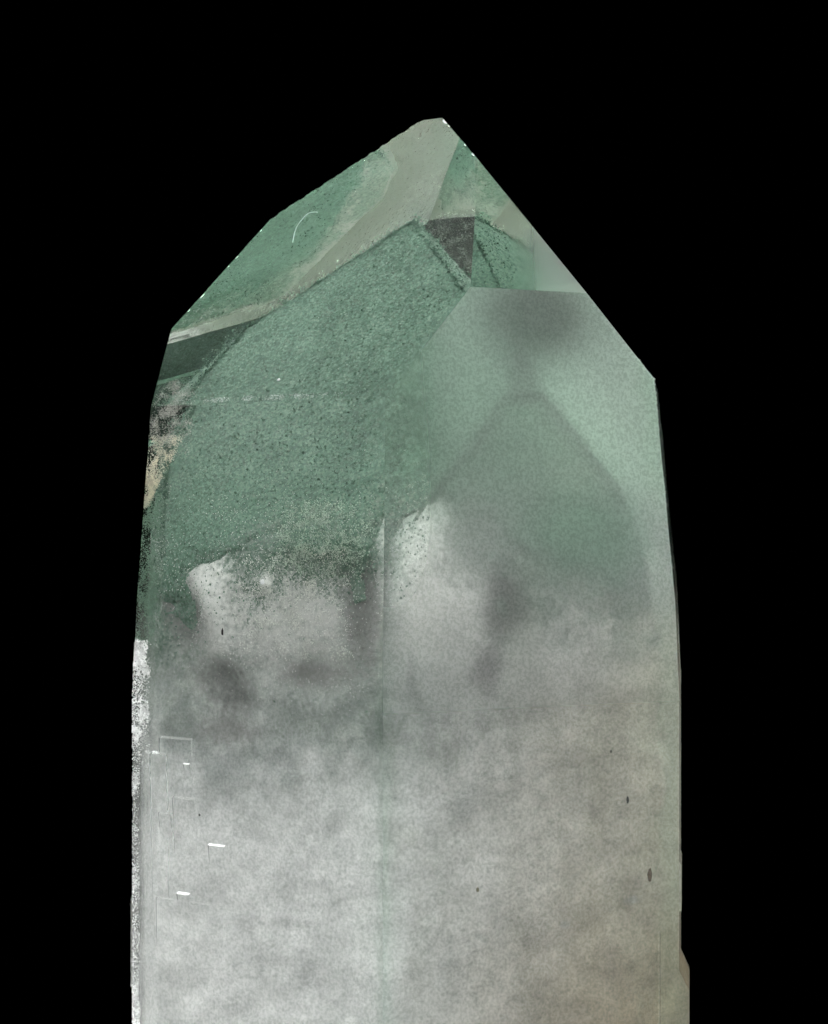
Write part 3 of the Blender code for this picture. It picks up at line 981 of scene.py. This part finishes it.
def make_sprinkle(sprinkle):
    """Small grains in or on a face, gathered into streaks and thinning out at their borders."""
    uneven = np.random.default_rng(len(sprinkle.name) + sprinkle.count)
    tries = sprinkle.count * 5
    shares = uneven.random((2, tries))
    spans = np.array((sprinkle.across, sprinkle.height))
    places = np.stack((shares[0] * (1.0 - sprinkle.narrows * (1.0 - shares[1])), shares[1]))
    across, height = spans[:, :1] + places * (spans[:, 1:] - spans[:, :1])
    depth = uneven.uniform(*sprinkle.depth, tries)
    base = np.array([on_face(sprinkle.face, *spot) for spot in zip(across, height, depth)])
    level, upright = sprinkle.streaks
    streaky = rough_field(base * (level, level, upright), 1.0, 3, 5.0)
    normals, offsets = planes_of(no_insets)
    inside = (base @ normals.T - offsets).max(axis=1) < 0.03 * MM
    weight = inside * (0.04 + smooth(streaky, 0.0, 0.6)) * np.sin(shares * math.pi).prod(axis=0)
    pick = uneven.choice(tries, size=sprinkle.count, replace=False, p=weight / weight.sum())
    base = base[pick]
    size = sprinkle.long * uneven.uniform(0.4, 1.0, (sprinkle.count, 1))
    lean = unit(uneven.normal(0.0, 1.0, base.shape))
    thick = size * sprinkle.thick
    look = grain_look(sprinkle.name, sprinkle.colour)
    grains = grains_mesh(sprinkle.name, look, base, lean, size, thick, thick, uneven)
    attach(grains, "root")


def make_specks():
    """The single specks: small uneven lumps just inside a face."""
    mesh = bmesh.new()
    colours = []
    for number, (side, across, height, wide, tall, colour) in enumerate(SPECKS):
        centre = on_face(side, across, height, SPECK_DEPTH)
        turn = outward(FACES[side].azimuth).to_track_quat("Z", "Y").to_matrix().to_4x4()
        size = Matrix.Diagonal((wide, tall, 0.4 * min(wide, tall), 1.0))
        made = bmesh.ops.create_icosphere(mesh, subdivisions=2, radius=1.0)["verts"]
        for corner in made:
            corner.co *= 1.0 + 0.35 * noise.noise(corner.co * 1.7 + UP * number * 5.0)
            corner.co = Matrix.Translation(centre) @ turn @ size @ corner.co
        if colour not in colours:
            colours.append(colour)
        for face in {face for corner in made for face in corner.link_faces}:
            face.material_index = colours.index(colour)
    specks = object_from(mesh, "specks")
    for number, colour in enumerate(colours):
        look = Look(f"speck_{number}")
        look.set(Base_Color=(*colour, 1.0), Roughness=0.5)
        specks.data.materials.append(look.material)
    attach(specks, "root")


def make_crack():
    """The fine curved crack, as a thread of bright quartz just inside the face."""
    curve = bpy.data.curves.new("crack", "CURVE")
    curve.dimensions = "3D"
    curve.bevel_depth = 0.022 * MM
    curve.bevel_resolution = 1
    curve.use_fill_caps = True
    line = curve.splines.new("NURBS")
    line.points.add(len(CRACK) - 1)
    for point, (across, height) in zip(line.points, CRACK):
        point.co = (*on_face("front_left", across, height, CRACK_DEPTH), 1.0)
    line.use_endpoint_u = True
    line.order_u = 3
    guide = object_with(curve, "crack_guide")
    graph = bpy.context.evaluated_depsgraph_get()
    crack = object_with(bpy.data.meshes.new_from_object(guide.evaluated_get(graph)), "crack")
    bpy.data.objects.remove(guide, do_unlink=True)
    crack.data.materials.append(grain_look("crack", WHITE_SPECK))
    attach(crack, "root")


def make_core():
    """The older crystal: milky below, and pale where the hood leaves it bare."""
    peak = hood_apex(CORE_UNDER_HOOD)
    rows = np.linspace(CORE_FOOT, peak.z - 0.03 * MM, CORE_ROWS)[:, None]
    heights = np.broadcast_to(rows, (CORE_ROWS, COLUMNS))
    angles = np.broadcast_to(TURNS, heights.shape)
    surface = grid_points(angles, heights, core_surface(angles, heights))
    green = BORDER_GREEN * smooth(green_cover(surface, angles), -0.8, 0.5)
    points = surface.reshape(-1, 3).tolist()
    foot = len(points)
    points += [(APEX.x, APEX.y, CORE_FOOT), tuple(peak)]
    faces = ring_faces(CORE_ROWS) + fan(0, foot, turned=True) + fan(foot - COLUMNS, foot + 1)
    core = object_of_lists("milky_core", points, faces)
    core.data.shade_smooth()
    keep_green(core, np.concatenate((green.reshape(-1), np.zeros(len(points) - green.size))))
    core.data.materials.append(milky_look())
    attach(core, "root")


def patch_centre(patch):
    """A point of the milky surface at the patch's azimuth and height."""
    angle = np.array([math.radians(patch.azimuth)])
    height = np.array([patch.height])
    far = reach(angle, height, planes_of(hood_insets), (0.0, 0.0))
    return Vector(grid_points(angle, height, far, (0.0, 0.0))[0])


def patched(look, colour, patches):
    """colour with soft, granular patches laid over it."""
    speckles = look.between(look.cells(5500.0), 0.0, 0.35, 0.7, 1.0)
    for patch in patches:
        wide, tall = patch.wide * 1.3, patch.tall * 1.3
        mask = look.blob(patch_centre(patch), (wide, max(wide, tall), tall), 0.7, 2600.0, 0.65)
        tone = (patch.shade * 0.98, patch.shade, patch.shade * 0.95)
        share = look.times(mask, 0.8)
        if patch.bulge > 0.0:
            share = look.times(share, speckles)
        colour = look.mix(share, colour, tone)
    return colour


def milky_look():
    look = Look("milky")
    height = look.z
    cloud = look.noise(210.0, 6.0, 0.62)
    wisps = look.noise(800.0, 5.0, 0.65)
    grain = look.noise(4200.0, 3.0, 0.7)
    level = look.plus(look.times(cloud, 0.52), look.times(wisps, 0.33))
    level = look.plus(level, look.times(grain, 0.15))
    light = look.ramp(
        level,
        (0.38, (0.67, 0.68, 0.67)),
        (0.50, (0.86, 0.87, 0.855)),
        (0.62, (0.97, 0.975, 0.96)),
    )
    dim = look.ramp(
        level,
        (0.34, (0.19, 0.22, 0.205)),
        (0.50, (0.29, 0.325, 0.30)),
        (0.64, (0.50, 0.53, 0.49)),
    )
    ragged = look.times(look.noise(260.0, 3.0), 0.012)
    # The body is warmer and darker on the right: partly its own tone, partly painted shade for the light
    # that falls from the left. It is darkest there near the foot. Higher up its left is dim.
    right = look.between(look.x, -0.002, 0.016)
    left = look.minus(1.0, look.times(right, 0.75))
    high = look.between(look.plus(height, ragged), 0.031, 0.042)
    colour = look.mix(look.times(high, left), light, dim)
    colour = look.mix(right, colour, (0.66, 0.62, 0.52), "MULTIPLY")
    foot = look.times(right, look.between(height, 0.026, 0.014))
    colour = look.mix(foot, colour, (0.68, 0.59, 0.46), "MULTIPLY")
    # Above the body's clouds the older crystal is pale and beige, with green dust near the hood.
    colour = look.mix(bare_share(look), colour, BARE_QUARTZ)
    # The green dust lies over the broad patches and under the small ones.
    colour = patched(look, colour, [patch for patch in PATCHES if patch.wide > BROAD_PATCH])
    colour = look.mix(look.between(dust(look), 0.0, 0.75), colour, (0.085, 0.150, 0.106))
    colour = patched(look, colour, [patch for patch in PATCHES if patch.wide <= BROAD_PATCH])
    look.set(Base_Color=colour, Roughness=0.6)
    look.bump(look.plus(wisps, look.times(grain, 0.6)), 0.5, 0.0004)
    return look.material


def area_light(name, azimuth, rise, distance, size, watts):
    light = bpy.data.lights.new(name, "AREA")
    light.shape = "DISK"
    light.size = size
    light.energy = watts
    lamp = object_with(light, name)
    aim = Vector((0.0, 0.0, 0.04))
    lamp.location = aim + tilted(azimuth, rise) * distance
    lamp.rotation_euler = (lamp.location - aim).to_track_quat("Z", "Y").to_euler()
    lamp.visible_camera = False


def make_studio():
    scene = bpy.context.scene
    world = bpy.data.worlds.new("dark")
    scene.world = world
    world.use_nodes = True
    world.node_tree.nodes["Background"].inputs["Color"].default_value = (0.0, 0.0, 0.0, 1.0)
    mesh = bmesh.new()
    bmesh.ops.create_circle(mesh, cap_ends=True, segments=96, radius=FLOOR_RADIUS)
    floor = object_from(mesh, "floor")
    floor.location = (0.0, 0.0, -0.0002)
    look = Look("floor")
    pale = look.ramp(look.noise(60.0), (0.3, (0.19, 0.19, 0.185)), (0.7, (0.22, 0.22, 0.215)))
    look.set(Base_Color=pale, Roughness=0.95)
    floor.data.materials.append(look.material)

    area_light("key", 240.0, 48.0, 0.32, 0.32, 1.15)
    area_light("fill", 285.0, 42.0, 0.32, 0.32, 1.12)
    area_light("left", 170.0, 18.0, 0.30, 0.17, 1.3)
    area_light("right", 8.0, 30.0, 0.30, 0.18, 1.2)
    area_light("back_right", 62.0, 38.0, 0.30, 0.18, 1.5)
    area_light("back_left", 120.0, 50.0, 0.30, 0.18, 0.9)

    camera = bpy.data.cameras.new("camera")
    camera.lens = FOCAL_MM
    camera.sensor_width = 36.0
    camera.clip_start = 0.005
    camera.clip_end = 10.0
    viewer = object_with(camera, "camera")
    viewer.location = CAMERA_AT
    viewer.rotation_euler = (math.pi / 2, 0.0, 0.0)
    scene.camera = viewer

    scene.view_settings.view_transform = "Standard"
    cycles = scene.cycles
    cycles.max_bounces = 24
    cycles.transmission_bounces = 20
    cycles.glossy_bounces = 8
    cycles.diffuse_bounces = 6
    cycles.transparent_max_bounces = 24
    cycles.caustics_refractive = True
    cycles.caustics_reflective = True
    cycles.sample_clamp_indirect = 6.0


make_studio()
make_crystal()
make_hood()
make_flakes()
make_tufts()
make_core()
make_milky_grains()
for row in SPRINKLES:
    make_sprinkle(Sprinkle(*row))
make_specks()
make_crack()
